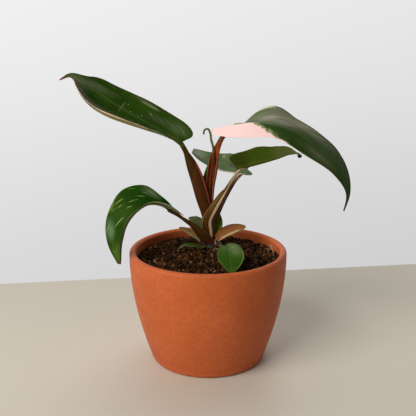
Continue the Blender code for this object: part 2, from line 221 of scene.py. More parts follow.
SCALE = dict(
    LEAF, fold=((28, 20), (28, 20)), curl=((20, 20), (20, 20)),
    veins=1, sweep=0.2, groove=0.1, quilt=0.0, wavy=0.2, keel=0.5, streak=0.0,
    dark=(0.15, 0.058, 0.017), green=(0.28, 0.11, 0.034), vein=(0.18, 0.12, 0.03),
    under=(0.12, 0.075, 0.02), under_pale=(0.2, 0.13, 0.045), under_base=(0.09, 0.04, 0.012),
    rib_share=0.2,
)
LEAVES = {}
LEAVES["upper_left_leaf"] = dict(
    midrib=[(-22, 16, 182), (-40, 20, 191.5), (-62, 26, 203), (-84, 31, 216),
            (-102, 35, 227.5), (-116, 38, 234.5), (-124.5, 38, 231)],
    face=(0, -0.72, 0.69), left=(4, 8, 17, 24, 29, 29.5, 22, 6.5, 0.5),
    right=(14.5, 16.8, 18, 18.3, 17.2, 15, 12.2, 4.2, 0.5),
    fold=((0, 0, -8, -14, -18, -20, -18, -8, 0), (4, 2, -2, -4, 0)),
    curl=((60, 85, 105, 112, 112, 112, 106, 85, 30), (15, 10, 5, 0, 0)), lobe=(2, 15),
    dark=(0.007, 0.029, 0.0006), green=(0.017, 0.048, 0.0015), keel_colour=(0.07, 0.085, 0.012),
    under=(0.215, 0.198, 0.06), under_pale=(0.285, 0.255, 0.095), under_base=(0.06, 0.08, 0.012),
    under_end=(0.1, 0.14, 0.045), under_to=0.5, under_from=0.27, under_far=(0.02, 0.04, 0.003),
    tip_from=0.95, pale=(0.085, 0.105, 0.048), streak=0.6,
    glows=(
        ((0.085, 0.55, 0.08, 0.45), (0.072, 0.112, 0.042)),
        ((0.2, 0.42, 0.13, 0.22), (0.055, 0.075, 0.035)), ((0.4, 0.9, 0.1, 0.15), (0.055, 0.075, 0.025)),
        ((0.7, 0.3, 0.14, 0.3), (0.075, 0.095, 0.045)), ((0.86, 0.05, 0.14, 0.9), (0.1, 0.12, 0.055)),
    ),
    margins=((-1, 0.21, 0.87, 0.03, PINK_LINE), (-1, 0, 0.18, 0.05, LIME)),
    patches=(
        # The first patch is a painted highlight near the upper edge.
        ((0.33, 0.81, 0.075, 0.055), (0.11, 0.14, 0.06)),
        ((0.489, 0.12, 0.006, 0.26), (0.07, 0.09, 0.035)),
        ((0.287, 0.47, 0.005, 0.03), (0.26, 0.28, 0.14)),
        *spots(
            (0.2, 0.22, 0.1), (0.337, 0.18, 0.004, 0.022), (0.42, 0.07, 0.004, 0.022),
            (0.463, 0.33, 0.004, 0.022),
        ),
    ),
)
LEAVES["upper_right_leaf"] = dict(
    midrib=[(17, 9, 197), (35, 6, 199.5), (62, 2, 196), (86, -3, 182),
            (105, -7, 164), (113, -10, 144), (110, -11, 130)],
    face=(0, -0.45, 0.89), left=(9, 25, 28.5, 21, 20, 19.5, 12.3, 3.4, 0.5),
    right=(8, 17, 14.8, 15.2, 15.2, 13, 9, 4.2, 0.5),
    fold=((-60, -22, -3, -6, -6, -5, -3, 3, 8), (10, -8, -10, -10, -10, -8, -6, -2, 3)), lobe=(2, 33),
    gloss=0.48, dark=(0.009, 0.033, 0.0008), green=(0.02, 0.052, 0.002),
    zone={
        "from": -0.04, "slant": 0.17, "end": 0.13, "fringe": 0.068, "colour": PINK,
        "fringe_colour": (0.32, 0.33, 0.15),
    },
    margins=(
        (1, 0, 0.36, 0.07, PINK), (-1, 0.14, 0.22, 0.13, CREAM),
        (-1, -0.06, 0.1, 0.06, (0.16, 0.2, 0.1)),
    ),
    patches=(((0.693, -0.95, 0.006, 0.05), (0.2, 0.13, 0.05)),),
    glows=(
        ((0.13, -0.75, 0.11, 0.55), (0.07, 0.13, 0.01)),
        ((0.25, -0.35, 0.17, 0.42), (0.275, 0.262, 0.185)),
        ((0.42, -0.75, 0.26, 0.45), (0.225, 0.21, 0.14)), ((0.6, 0.45, 0.18, 0.45), (0.08, 0.085, 0.045)),
    ),
    rim=(0.13, 0.05, 0.025), rim_share=0.8,
)
LEAVES["right_leaf"] = dict(
    midrib=[(24, 12, 161.2), (40, 16, 164), (57, 19, 168), (70, 21, 171.5),
            (76, 22, 171), (78, 21, 169.5), (76, 19.5, 168)],
    face=(0, 0.3, 0.95), left=(8, 12, 14, 14, 12, 9, 6, 2.5, 0.5),
    right=(18, 17, 19, 18.5, 16, 14.5, 10.5, 6, 2),
    fold=((30, 30), (36, 36, 36, 35, 34, 32, 26, -20, -50)), curl=((0, 0), (10, 0)), lobe=(12, 16),
    wavy=0.0, under=(0.06, 0.125, 0.004), under_pale=(0.1, 0.18, 0.01),
    under_base=(0.055, 0.09, 0.006), under_end=(0.17, 0.22, 0.05), under_to=0.45,
    keel_colour=(0.085, 0.04, 0.012),
)
LEAVES["back_leaf"] = dict(
    midrib=[(35, 58, 151), (25, 62, 153), (13, 66, 156), (-2, 69, 160), (-14, 70, 165)],
    face=(0, -0.6, 0.8), left=(9, 11.5, 14, 15, 14.5, 13, 11, 8.5, 3.5),
    right=(9, 10, 11.5, 11, 8.5, 6.5, 5.5, 4.5, 2.5), fold=((15, 15), (5, 5)), lobe=(17, 10),
    gloss=0.6, shine=0.12, dark=(0.094, 0.145, 0.056), green=(0.137, 0.194, 0.08),
    vein=(0.14, 0.19, 0.09), glows=(((0.9, 0.2, 0.2, 1), (0.5, 0.6, 0.4)),),
    rib_colour=(0.06, 0.08, 0.03), rim_share=0.3, tip=(0.22, 0.28, 0.15), tip_from=0.985,
    patches=(((0.463, 0.63, 0.026, 0.2), (0.32, 0.34, 0.17)),),
    margins=((-1, 0.08, 0.6, 0.14, (0.72, 0.62, 0.52)),),
)
LEAVES["lower_left_leaf"] = dict(
    midrib=[(-30, -6, 131), (-39, -10, 136), (-48, -14, 137), (-57, -18, 132),
            (-65, -21, 122), (-69, -22, 109), (-71.3, -22, 88.5)],
    face=(0, -0.34, 0.94), left=(7, 9, 14, 17, 18, 16, 11, 5, 0.5),
    right=(3, 6.5, 16, 20.5, 18.8, 16.2, 13.3, 8.5, 2),
    fold=((15, 42, 48, 45, 38), (32, 32, 32, 32, 32)), curl=((0, 0), (5, 5)), lobe=(24, 4),
    sweep=5.2, dark=(0.004, 0.036, 0.0006), green=(0.01, 0.06, 0.0012), vein=(0.022, 0.08, 0.003),
    # The underside colours and the pale band at the base edge are partly the leaf's own colour and partly
    # painted light, lightened to offset the shade there.
    under=(0.09, 0.14, 0.02), under_pale=(0.13, 0.19, 0.03), under_base=(0.22, 0.27, 0.12),
    margins=((-1, 0.1, 0.3, 0.3, (0.44, 0.48, 0.31)),),
    rim=(0.11, 0.12, 0.02), keel_colour=(0.09, 0.1, 0.02),
    flecks=spots(
        FLECK, (0.076, 0.79, 0.006, 0.07), (0.167, 0.65, 0.006, 0.034),
        (0.176, 0.43, 0.005, 0.04), (0.275, 0.32, 0.005, 0.045), (0.409, 0.37, 0.009, 0.11),
    ) + spots(
        DIM_FLECK, (0.163, 0.38, 0.005, 0.04), (0.076, 0.47, 0.005, 0.04),
        (0.085, 0.42, 0.005, 0.04), (-0.097, 0.88, 0.005, 0.04), (-0.02, 0.58, 0.005, 0.04),
        (0.339, 0.7, 0.005, 0.03), (0.577, 0.62, 0.006, 0.03), (0.136, 0.82, 0.005, 0.04),
    ),
    glows=(
        ((0.2, 0.72, 0.08, 0.42), (0.165, 0.19, 0.095)), ((0.69, 0.76, 0.11, 0.34), (0.18, 0.265, 0.135)),
        ((0.9, 0.3, 0.15, 0.8), (0.085, 0.155, 0.018)),
    ),
)
LEAVES["front_small_leaf"] = dict(
    midrib=[(14, -24, 105), (16, -30, 103), (17, -37, 99), (18, -45, 94), (18, -52, 91)],
    face=(0, -0.3, 0.95), left=(5, 9.8, 11.5, 11.8, 11.2, 9.3, 6.4, 3.3, 0.5),
    right=(4, 7.6, 9.4, 9.9, 9.4, 7.9, 5.6, 3.1, 0.5), fold=((5, 5), (5, 5)),
    curl=((-10, -10), (-10, -10)), lobe=(6, 3),
    keel=0.5, veins=7, dark=(0.019, 0.062, 0.003), green=(0.036, 0.092, 0.007),
    vein=(0.06, 0.1, 0.02), rib_colour=(0.08, 0.12, 0.03),
    margins=((-1, 0.2, 0.95, 0.16, (0.11, 0.17, 0.03)), (1, 0.45, 0.95, 0.12, (0.08, 0.13, 0.02))),
    glows=(((0.22, -0.5, 0.24, 0.5), (0.17, 0.215, 0.085)),),
)
LEAVES["back_small_leaf"] = dict(
    midrib=[(-4, 26, 104), (-7.5, 28, 108), (-12, 30, 111), (-17, 32, 112.5)],
    face=(-0.3, -0.5, 0.8), left=(2, 4, 5.2, 5.5, 5, 4.2, 3.2, 2, 0.5), fold=((5, 5), (5, 5)),
    curl=((-10, -10), (-10, -10)), lobe=(2, 2),
    keel=0.4, veins=6, dark=(0.07, 0.095, 0.035), green=(0.115, 0.145, 0.06),
)
SCALES = {}
SCALES["right_bud_scale"] = dict(
    midrib=[(8.4, 7.8, 97.8), (10.5, 7.4, 101.5), (16, 7, 105.4),
            (23.5, 6.5, 108.8), (31.5, 6, 111.6)],
    face=(-0.25, -0.55, 0.8), left=(3, 4.8, 6, 6.4, 6.4, 6, 5, 3.6, 1.4),
    right=(3, 4.4, 5.4, 6, 6.2, 5.8, 4.8, 3.4, 1.2), dark=(0.19, 0.062, 0.02), green=(0.32, 0.115, 0.038),
    margins=(
        (1, 0.05, 0.75, 0.9, (0.6, 0.36, 0.21)), (1, 0.35, 0.95, 0.55, (0.26, 0.23, 0.07)),
        (1, -0.06, 1.05, 0.16, (0.14, 0.06, 0.022)), (-1, 0.25, 1.05, 0.14, (0.055, 0.045, 0.008)),
    ),
    tip=(0.06, 0.03, 0.01),
)
SCALES["left_bud_scale"] = dict(
    midrib=[(-6.4, 10.6, 97.8), (-9.5, 10.6, 100.5), (-14, 10, 103.9),
            (-19, 9, 107.5), (-24, 8, 110.4)],
    face=(0.3, -0.5, 0.8), left=(2.4, 3.6, 4.4, 4.6, 4.4, 3.8, 2.9, 1.9, 0.7),
    dark=(0.44, 0.17, 0.07), green=(0.62, 0.28, 0.13),
    margins=(
        (1, -0.06, 1.05, 0.2, (0.7, 0.42, 0.28)), (-1, 0.05, 1.05, 1.35, (0.34, 0.36, 0.09)),
        (-1, -0.06, 0.8, 1.05, (0.6, 0.44, 0.26)),
    ),
)
SCALES["low_strip_leaf"] = dict(
    midrib=[(-2.6, -1.5, 97.1), (-6.5, -5.5, 98), (-13, -8.5, 100), (-20, -10, 100.6), (-24.5, -11, 98)],
    face=(0, -0.5, 0.87), left=(1.6, 2.5, 3, 3.1, 2.9, 2.6, 2, 1.3, 0.5),
    fold=((10, 10), (10, 10)), curl=((0, 0), (0, 0)),
    dark=(0.024, 0.038, 0.004), green=(0.05, 0.074, 0.008), under=(0.06, 0.09, 0.01),
    under_pale=(0.09, 0.13, 0.02), tip=(0.08, 0.12, 0.02),
)
SCALES["upright_small_leaf"] = dict(
    midrib=[(7.8, 12, 97.6), (8, 13, 103), (8.5, 14.5, 110), (9.8, 15.5, 115), (10, 16, 120)],
    face=(-0.3, -0.9, 0.3), left=(1, 1.3, 2.2, 3, 3.3, 3, 2.3, 1.4, 0.5),
    right=(1, 1.6, 2.8, 4, 4.2, 3.9, 3, 1.8, 0.5), fold=((5, 5), (5, 5)), curl=((10, 10), (10, 10)),
    # These greens are lightened past the leaf's own colour to offset the shade it stands in: painted light.
    dark=(0.11, 0.15, 0.002), green=(0.2, 0.27, 0.006),
)

# Each stalk is a rod and, where `trough` is 1, a sheath bent round the younger
# stalks inside it, open towards `opening`.
STALK = dict(
    trough=(0, 0), wrap=110, wall=0.8,
    gloss=0.46, shine=0.28, dark=(0.045, 0.013, 0.003), body=(0.072, 0.021, 0.006),
    light=(0.095, 0.034, 0.01), top=(0.045, 0.03, 0.004), top_from=0.7, top_to=1.0,
    sheath=(0.82, 0.17), slant=0.0, under_leaf=None,
    base=(0.045, 0.01, 0.004), base_to=0.16, inside=(0.085, 0.018, 0.006), inside_dark=(0.045, 0.01, 0.003),
    margin=(0.36, 0.085, 0.055), margin_left=0.1, margin_right=0.1, stripes=(),
)
STALKS = {}
STALKS["upper_left_stalk"] = dict(
    path=[(1, 9.5, 97.5), (0.4, 10.1, 107), (-0.4, 10.2, 119), (-4.1, 9.9, 135.5),
          (-10.2, 12, 156), (-14.3, 14, 165.5), (-18, 15.8, 173.3), (-22, 18, 180)],
    opening=(0.7, 0.7, 0), radius=(3.1, 3.7, 4.1, 4.5, 5, 5.6, 6, 6, 5.9, 5.6, 4.9, 3.6, 2.3, 2.2),
    trough=(1,) * 11 + (0.8, 0, 0),
    margin_left=0.24, top_from=0.73, top_to=0.77, top=(0.036, 0.013, 0.002),
    gloss=0.6, shine=0.08, sheath=(0.745, 0.02), margin=(0.42, 0.1, 0.065),
    slant=0.14, under_leaf=(0.055, 0.065, 0.008),
)
STALKS["upper_right_stalk"] = dict(
    path=[(1, 9.5, 97.5), (0.9, 10.5, 112), (1.4, 11, 130), (2, 11.2, 146), (3.7, 11, 158.5),
          (5, 10.8, 168.5), (7, 10.3, 176.5), (11, 9.8, 185.5), (17.8, 9.8, 193.8)],
    opening=(-0.55, -0.8, 0.2), radius=(2.0, 2.3, 2.6, 3.2, 3.8, 4.2, 3.4, 2.2, 1.8),
    trough=(1, 1, 1, 1, 1, 1, 0.6, 0, 0), wrap=115, wall=0.7,
    dark=(0.072, 0.011, 0.002), body=(0.135, 0.022, 0.004), light=(0.18, 0.034, 0.008),
    inside=(0.29, 0.046, 0.01), inside_dark=(0.17, 0.024, 0.005), base=(0.14, 0.025, 0.006),
    top=(0.26, 0.13, 0.08), top_from=0.75, sheath=(0.87, 0.17), under_leaf=(0.2, 0.23, 0.12),
    margin_left=0.16, margin_right=0.2,
)
STALKS["right_stalk"] = dict(
    path=[(1, 9.5, 97.5), (0.6, 9.2, 107), (0.2, 8, 118), (4.3, 6.2, 127), (9.6, 6.6, 135.5),
          (15.3, 8.2, 144), (21, 10, 152.5), (25.9, 12.3, 159)],
    opening=(-0.7, 0.7, 0), radius=(4.2, 4.9, 5.3, 5.6, 5.5, 5.2, 4.8, 4.3, 3.4, 1.9, 1.7, 1.6, 1.6),
    trough=(1,) * 8 + (0.8, 0, 0, 0, 0),
    dark=(0.042, 0.014, 0.001), body=(0.07, 0.026, 0.002), light=(0.105, 0.048, 0.003),
    top=(0.42, 0.29, 0.16), top_from=0.6, sheath=(0.74, 0.17), margin=(0.26, 0.1, 0.05),
    # A dark stripe of painted shade on the rod's shaded side, then a pale tan stripe of painted highlight
    # along its lit ridge.
    stripes=(
        ((0.48, -0.2, 0.03, 0.02), (0.045, 0.016, 0.005)), ((0.57, -0.2, 0.07, 0.02), (0.6, 0.38, 0.24)),
    ),
)
STALKS["lower_left_stalk"] = dict(
    path=[(1, 9.5, 97.5), (0.2, 8.8, 100), (-2.5, 6.5, 104), (-7.5, 3, 110), (-12.5, 0, 116),
          (-18, -2.5, 120.5), (-24, -4.5, 125), (-32, -6.5, 129.5)],
    opening=(0.8, 0.6, 0), radius=(5.4, 5.4, 4.9, 3.8, 2.9, 2.2, 1.8, 1.5),
    trough=(1, 1, 1, 1, 0.9, 0.5, 0, 0),
    dark=(0.048, 0.018, 0.002), body=(0.082, 0.028, 0.004), light=(0.08, 0.044, 0.004),
    base=(0.11, 0.022, 0.007), base_to=0.22,
    top=(0.05, 0.036, 0.003), inside=(0.07, 0.032, 0.003), inside_dark=(0.044, 0.018, 0.002),
    margin=(0.26, 0.13, 0.07), margin_left=0.05, margin_right=0.05,
)
STALKS["back_stalk"] = dict(
    path=[(2.9, 16.6, 97.5), (4.5, 21, 106), (8, 28, 114), (17, 40, 131), (27, 52, 144),
          (33.5, 57.5, 148.6)],
    opening=(0, -0.6, 0.8), radius=(1.5, 1.4, 1.3, 1.3, 1.3, 1.2),
    top=(0.32, 0.21, 0.11), top_from=0.45, top_to=0.65,
)
STALKS["back_shoot"] = dict(
    path=[(-1.5, 16.6, 97.5), (-1.7, 17.5, 115), (-2, 18, 132), (-3, 18, 147),
          (-1.5, 18, 156), (0.8, 18, 164)],
    opening=(0.3, -0.9, 0), radius=(1.3, 1.4, 1.8, 2.4, 1.8, 0.6),
    dark=(0.028, 0.045, 0.005), body=(0.05, 0.085, 0.01), light=(0.07, 0.12, 0.02),
    top=(0.06, 0.1, 0.015),
)
STALKS["back_small_stalk"] = dict(
    path=[(-4.6, 14.2, 97.6), (-4.8, 15.4, 100.6), (-4.8, 20, 102.5), (-4.2, 24.9, 103.2)],
    opening=(1, 0, 0), radius=(1.2, 1.1, 1.0, 0.9),
)
STALKS["front_small_stalk"] = dict(
    path=[(3, 2.3, 97.5), (7, -7, 99.3), (11, -16, 102), (14, -24.5, 103.2)], opening=(1, 0, 0),
    radius=(1.3, 1.2, 1.1, 1.0),
    dark=(0.1, 0.045, 0.02), body=(0.18, 0.09, 0.05), light=(0.24, 0.13, 0.08),
    base=(0.03, 0.012, 0.004), base_to=0.62,
)
STALKS["new_leaf_roll"] = dict(
    path=[(1.1, 9.6, 97.8), (0.8, 10.3, 112), (1.2, 10.6, 130), (1.6, 10.7, 146), (3, 10.5, 158.5),
          (4.3, 10.2, 168.5), (4.2, 10.2, 178.6), (2.6, 10.4, 184.5), (1.7, 10.4, 190.3),
          (-0.2, 10.4, 193.6), (-3, 10.4, 192.4), (-3.5, 10.4, 189)],
    opening=(-0.6, -0.8, 0), radius=(0.8, 0.8, 0.9, 1.1, 1.2, 1.2, 1.2, 1.2, 1.1, 1, 0.9, 0.7),
    dark=(0.07, 0.085, 0.01), body=(0.11, 0.135, 0.022), light=(0.14, 0.16, 0.04),
    top=(0.085, 0.05, 0.022), top_from=0.82, base=(0.12, 0.028, 0.006), base_to=0.82,
)


# ---- shapes ----

def unit(vectors):
    return vectors / np.maximum(np.linalg.norm(vectors, axis=-1, keepdims=True), 1e-12)


def spline(knots, values, at):
    """A smooth cubic through the values at the knots, read at the places `at`."""
    values = np.asarray(values, float)
    slopes = np.gradient(values, knots, axis=0)
    span = np.clip(np.searchsorted(knots, at) - 1, 0, len(knots) - 2)
    width = (knots[span + 1] - knots[span]).reshape(-1, *[1] * (values.ndim - 1))
    t = ((at - knots[span]) / (knots[span + 1] - knots[span])).reshape(width.shape)
    start = values[span] * (1 + 2 * t) + slopes[span] * width * t
    end = values[span + 1] * (3 - 2 * t) - slopes[span + 1] * width * (1 - t)
    return start * (1 - t) ** 2 + end * t**2


def even_steps(values, shares):
    """Read values that are given at equal steps from 0 to 1."""
    return spline(np.linspace(0, 1, len(values)), values, shares)


def smooth_line(points, shares):
    """Points at shares of the length of a smooth curve through the given points."""
    points = np.asarray(points, float)
    knots = np.append(0, np.cumsum(np.linalg.norm(np.diff(points, axis=0), axis=1)))
    fine = spline(knots, points, np.linspace(0, knots[-1], LINE_SAMPLES))
    run = np.append(0, np.cumsum(np.linalg.norm(np.diff(fine, axis=0), axis=1)))
    return np.stack([np.interp(shares * run[-1], run, fine[:, k]) for k in range(3)], axis=1)


def moving_frame(tangents, start):
    """Side and face directions that follow the tangents without turning round them."""
    faces = np.empty_like(tangents)
    face = np.asarray(start, float)
    for i, tangent in enumerate(tangents):
        face = unit(face - (face @ tangent) * tangent)
        faces[i] = face
    return np.cross(tangents, faces), faces


def end_weighted(steps):
    """Shares from 0 to 1 that lie closer together near both ends."""
    even = np.linspace(0, 1, steps)
    return (even + (1 - np.cos(pi * even)) / 2) / 2


def blade_grid(leaf, share, columns):
    """Points of a blade's upper face: rows from base to tip, columns from left to right."""
    line = smooth_line(leaf.midrib, share)
    tangent = unit(np.gradient(line, axis=0))
    side, face = moving_frame(tangent, leaf.face)
    base = np.clip(share / BASE_ROUND, 0, 1)
    rounding = BASE_SHARE + (1 - BASE_SHARE) * np.sqrt(1 - (1 - base) ** 2)
    reach = np.clip(1 - share / LOBE_REACH, 0, 1)[:, None] ** LOBE_TAPER
    across = np.linspace(0, 1, columns // 2 + 1)[None, :]
    halves = []
    for part, widths in enumerate((leaf.left, leaf.right or leaf.left)):
        sign = 2 * part - 1
        width = (even_steps(widths, share) * rounding)[:, None]
        fold = np.radians(even_steps(leaf.fold[part], share))[:, None]
        curl = np.radians(even_steps(leaf.curl[part], share))[:, None]
        curl = np.where(np.abs(curl) < LEAST_CURL, LEAST_CURL, curl)
        out = width * (np.sin(fold + curl * across) - np.sin(fold)) / curl
        up = width * (np.cos(fold) - np.cos(fold + curl * across)) / curl
        back = leaf.lobe[part] * reach * (across * rounding[:, None]) ** LOBE_SWEEP
        halves.append(line[:, None] + sign * side[:, None] * out[..., None]
                      + face[:, None] * up[..., None] - tangent[:, None] * back[..., None])
    return np.concatenate([halves[0][:, :0:-1], halves[1]], axis=1)


def blade_relief(share, across, leaf):
    """Height of the upper face over the plain blade, in millimetres."""
    off = np.abs(across)
    groove = -leaf.groove * np.exp(-((across / GROOVE_WIDTH) ** 2)) * (1 - share) ** 0.5
    ridge = np.cos(2 * pi * (share * leaf.veins - off * leaf.sweep))
    side = leaf.quilt * ridge * np.sin(pi * np.clip(off, 0, 1)) ** 0.7
    wave = np.sin(2 * pi * (share * leaf.waves + 0.2 * np.sign(across)))
    return groove + side + leaf.wavy * wave * off**3 * np.sin(pi * share)


def new_mesh(name, points, faces):
    mesh = bpy.data.meshes.new(name)
    mesh.from_pydata(np.reshape(points, (-1, 3)).tolist(), [], faces)
    return mesh


def ring_faces(index, turned=False):
    """Faces between rings of points, whose numbers are the rows of `index`."""
    after = np.roll(index, -1, axis=1)
    sides = [index[:-1], index[1:], after[1:], after[:-1]]
    if turned:
        sides = [sides[0], *sides[:0:-1]]
    return np.stack([part.ravel() for part in sides], axis=1).tolist()


def tube(name, rings, turned=False):
    """A closed mesh along rings of points in millimetres. `turned` points its faces inward."""
    index = np.arange(rings.size // 3).reshape(rings.shape[:2])
    ends = [index[0], index[-1][::-1]]
    if turned:
        ends = [end[::-1] for end in ends]
    faces = ring_faces(index, turned) + [end.tolist() for end in ends]
    return new_mesh(name, rings * MM, faces)


def shell_mesh(name, top, bottom):
    """A closed mesh from two grids of points joined round their edge."""
    rows, columns = top.shape[:2]
    count = rows * columns
    index = np.arange(count).reshape(rows, columns)
    corners = [index[:-1, :-1], index[:-1, 1:], index[1:, 1:], index[1:, :-1]]
    upper = np.stack([c.ravel() for c in corners], axis=1)
    lower = upper[:, ::-1] + count
    loop = np.concatenate([index[0, :-1], index[:-1, -1], index[-1, :0:-1], index[:0:-1, 0]])
    after = np.roll(loop, -1)
    edge = np.stack([after, loop, loop + count, after + count], axis=1)
    faces = np.concatenate([upper, lower, edge])
    return new_mesh(name, [top, bottom], faces.tolist())


def store_uv(mesh, name, values):
    """Writes one (u, v) pair for each vertex to a UV map."""
    layer = mesh.uv_layers.new(name=name)
    vertex = np.empty(len(mesh.loops), np.int32)
    mesh.loops.foreach_get("vertex_index", vertex)
    layer.uv.foreach_set("vector", np.asarray(values, np.float32)[vertex].ravel())


def store_value(mesh, name, values):
    layer = mesh.attributes.new(name, "FLOAT", "POINT")
    layer.data.foreach_set("value", np.asarray(values, np.float32).ravel())


def add_object(name, data):
    made = bpy.data.objects.new(name, data)
    bpy.context.scene.collection.objects.link(made)
    return made


def add_piece(name, mesh, finish, slot, *nodes):
    """Links a mesh as a piece that rides on the one body and stands for these solids."""
    piece = add_object(name, mesh)
    mesh.materials.append(finish.material)
    mesh.shade_smooth()
    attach(piece, BODY)
    if nodes:
        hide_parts(*nodes)
    return piece


def blade(node, leaf, finish, slot):
    """A leaf blade with a groove and quilting above, a keel below and thin edges."""
    share = end_weighted(BLADE_ROWS)
    grid = blade_grid(leaf, share, BLADE_COLUMNS)
    across = np.broadcast_to(np.linspace(-1, 1, BLADE_COLUMNS), grid.shape[:2])
    along = np.broadcast_to(share[:, None], grid.shape[:2])
    normal = unit(np.cross(np.gradient(grid, axis=1), np.gradient(grid, axis=0)))
    top = grid + normal * blade_relief(along, across, leaf)[..., None]
    width = np.linalg.norm(np.diff(grid, axis=1), axis=2).sum(axis=1)[:, None] / 2
    from_midrib = across * width
    keel_radius = leaf.keel * (1 - KEEL_TAPER * along) + LEAST_KEEL
    keel = KEEL_DEPTH * keel_radius * np.exp(-((from_midrib / keel_radius) ** 2))
    body = EDGE_THICKNESS + (MIDDLE_THICKNESS - EDGE_THICKNESS) * (1 - across**2)
    thickness = np.minimum(body, NARROW_THICKNESS + width) + keel
    bottom = grid - normal * thickness[..., None]
    mesh = shell_mesh(node + "_blade", top * MM, bottom * MM)
    flat = np.stack([along, (across + 1) / 2], axis=2).reshape(-1, 2)
    store_uv(mesh, "leaf", np.concatenate([flat, flat]))
    store_value(mesh, "underside", np.repeat([0.0, 1.0], len(flat)))
    add_piece(node + "_blade", mesh, finish, slot, node)


def stalk_section(radius, trough, wrap, wall):
    """Section points (side, face): a rod for trough 0, a thin-edged crescent for trough 1."""
    half_turn = radians(90 + (wrap - 90) * trough)
    angle = np.linspace(-half_turn, half_turn, STALK_POINTS)
    outer = radius * np.stack([np.sin(angle), -np.cos(angle)], axis=1)
    inside = angle[-2:0:-1]
    depth = wall * np.sqrt(1 - THIN_EDGE * (inside / half_turn) ** 2)
    hollow = (radius - depth)[:, None] * np.stack([np.sin(inside), -np.cos(inside)], axis=1)
    angle = np.linspace(pi / 2, -pi / 2, STALK_POINTS)[1:-1]
    lid = radius * np.stack([np.sin(angle), ROD_FLATNESS * np.cos(angle)], axis=1)
    return np.concatenate([outer, hollow * trough + lid * (1 - trough)])


def stalk_rings(stalk, into=None):
    """Sections along the stalk, and on along the keel of its leaf if `into` is given."""
    share = np.linspace(0, 1, STALK_RINGS)
    line = smooth_line(stalk.path, share)
    tangent = unit(np.gradient(line, axis=0))
    upright = np.clip(1 - share / LEVEL_REACH, 0, 1)[:, None]
    tangent = unit(tangent * (1 - upright) + np.array([0, 0, 1]) * upright)
    radius = even_steps(stalk.radius, share)
    trough = np.clip(even_steps(stalk.trough, share), 0, 1)
    if into is not None:
        steps = np.linspace(0, 1, len(into) + 1)[1:]
        line = np.concatenate([line, into])
        tangent = np.concatenate([tangent, unit(np.gradient(into, axis=0))])
        radius = np.concatenate([radius, radius[-1] * (1 - KEEL_RUN_TAPER * steps)])
        trough = np.concatenate([trough, np.full(len(into), trough[-1])])
    side, face = moving_frame(tangent, stalk.opening)
    rows = [stalk_section(*row, stalk.wrap, stalk.wall) for row in zip(radius, trough)]
    out, up = np.moveaxis(np.array(rows), 2, 0)[..., None]
    return line[:, None] + out * side[:, None] + up * face[:, None]


def keel_run(leaf, radius):
    """Points just under the midrib's first stretch, where the stalk grows into the blade."""
    share = np.linspace(0, 1, BLADE_ROWS)
    line = smooth_line(leaf["midrib"], share)
    tangent = unit(np.gradient(line, axis=0))
    face = moving_frame(tangent, leaf["face"])[1]
    under = line - face * (MIDDLE_THICKNESS + radius * KEEL_SINK)
    return under[(share > KEEL_RUN[0]) & (share < KEEL_RUN[1])][::2]


def stalk(node, data, finish, slot, leaf=None):
    into = None if leaf is None else keel_run(leaf, data.radius[-1])
    rings = stalk_rings(data, into)
    total, count = rings.shape[:2]
    mesh = tube(node + "_skin", rings)
    outer = np.linspace(0, 1, STALK_POINTS)
    round_it = np.concatenate([outer, outer[-2:0:-1]])
    along = np.repeat(np.linspace(0, 1, total), count)
    store_uv(mesh, "stalk", np.stack([along, np.tile(round_it, total)], axis=1))
    inner = np.concatenate([np.zeros(STALK_POINTS), np.ones(STALK_POINTS - 2)])
    store_value(mesh, "inner", np.tile(inner, total))
    add_piece(node + "_skin", mesh, finish, slot, node)


# ---- pot and soil ----

def outer_radius(height):
    below = max(0.0, 1 - height / BELLY_TOP)
    return RIM_RADIUS - FOOT_INSET * below**BELLY_CURVE


def inner_radius(height):
    return outer_radius(height) - WALL


def even_places(start, end, steps):
    return [start + (end - start) * i / steps for i in range(steps + 1)]


def arc(centre, radius, start, end, steps):
    """Points (radius, height) on an arc, from one angle to another in degrees."""
    angles = [radians(place) for place in even_places(start, end, steps)]
    return [(centre[0] + radius * cos(a), centre[1] + radius * sin(a)) for a in angles]


def pot_profile():
    lip = WALL / 2
    rim_height = POT_HEIGHT - lip
    floor_top = FLOOR + FOOT_ROUND
    inside = [(inner_radius(z), z) for z in even_places(floor_top, rim_height, INSIDE_STEPS)]
    centre = (inside[0][0] - FOOT_ROUND, inside[0][1])
    floor_round = arc(centre, FOOT_ROUND, -90, 0, FLOOR_ROUND_STEPS)
    rim = arc((RIM_RADIUS - lip, rim_height), lip, 180, 0, LIP_STEPS)
    outside = [(outer_radius(z), z) for z in even_places(rim_height, FOOT_ROUND, OUTSIDE_STEPS)]
    centre = (outside[-1][0] - FOOT_ROUND, FOOT_ROUND)
    foot = arc(centre, FOOT_ROUND, 0, -90, FOOT_ROUND_STEPS)
    cavity = [(0, FLOOR)] + floor_round[:-1] + inside[:-1]
    return cavity + rim[:-1] + outside[:-1] + foot + [(0, 0)]


def pot(finish):
    points = [(r, 0, z) for r, z in pot_profile()]
    mesh = bpy.data.meshes.new("pot_clay")
    mesh.from_pydata(points, [(i, i + 1) for i in range(len(points) - 1)], [])
    piece = add_piece("pot_clay", mesh, finish, "terracotta", "pot")
    screw = piece.modifiers.new("turn", "SCREW")
    screw.steps = TURN_STEPS
    screw.render_steps = TURN_STEPS
    screw.use_merge_vertices = True
    screw.merge_threshold = 0.00001
    screw.use_smooth_shade = True


def soil_height(radius):
    """The soil is mounded towards the middle of the pot."""
    share = np.minimum(1.0, radius / inner_radius(SOIL_EDGE))
    return SOIL_EDGE + (SOIL_TOP - SOIL_EDGE) * (0.5 + 0.5 * np.cos(pi * share))


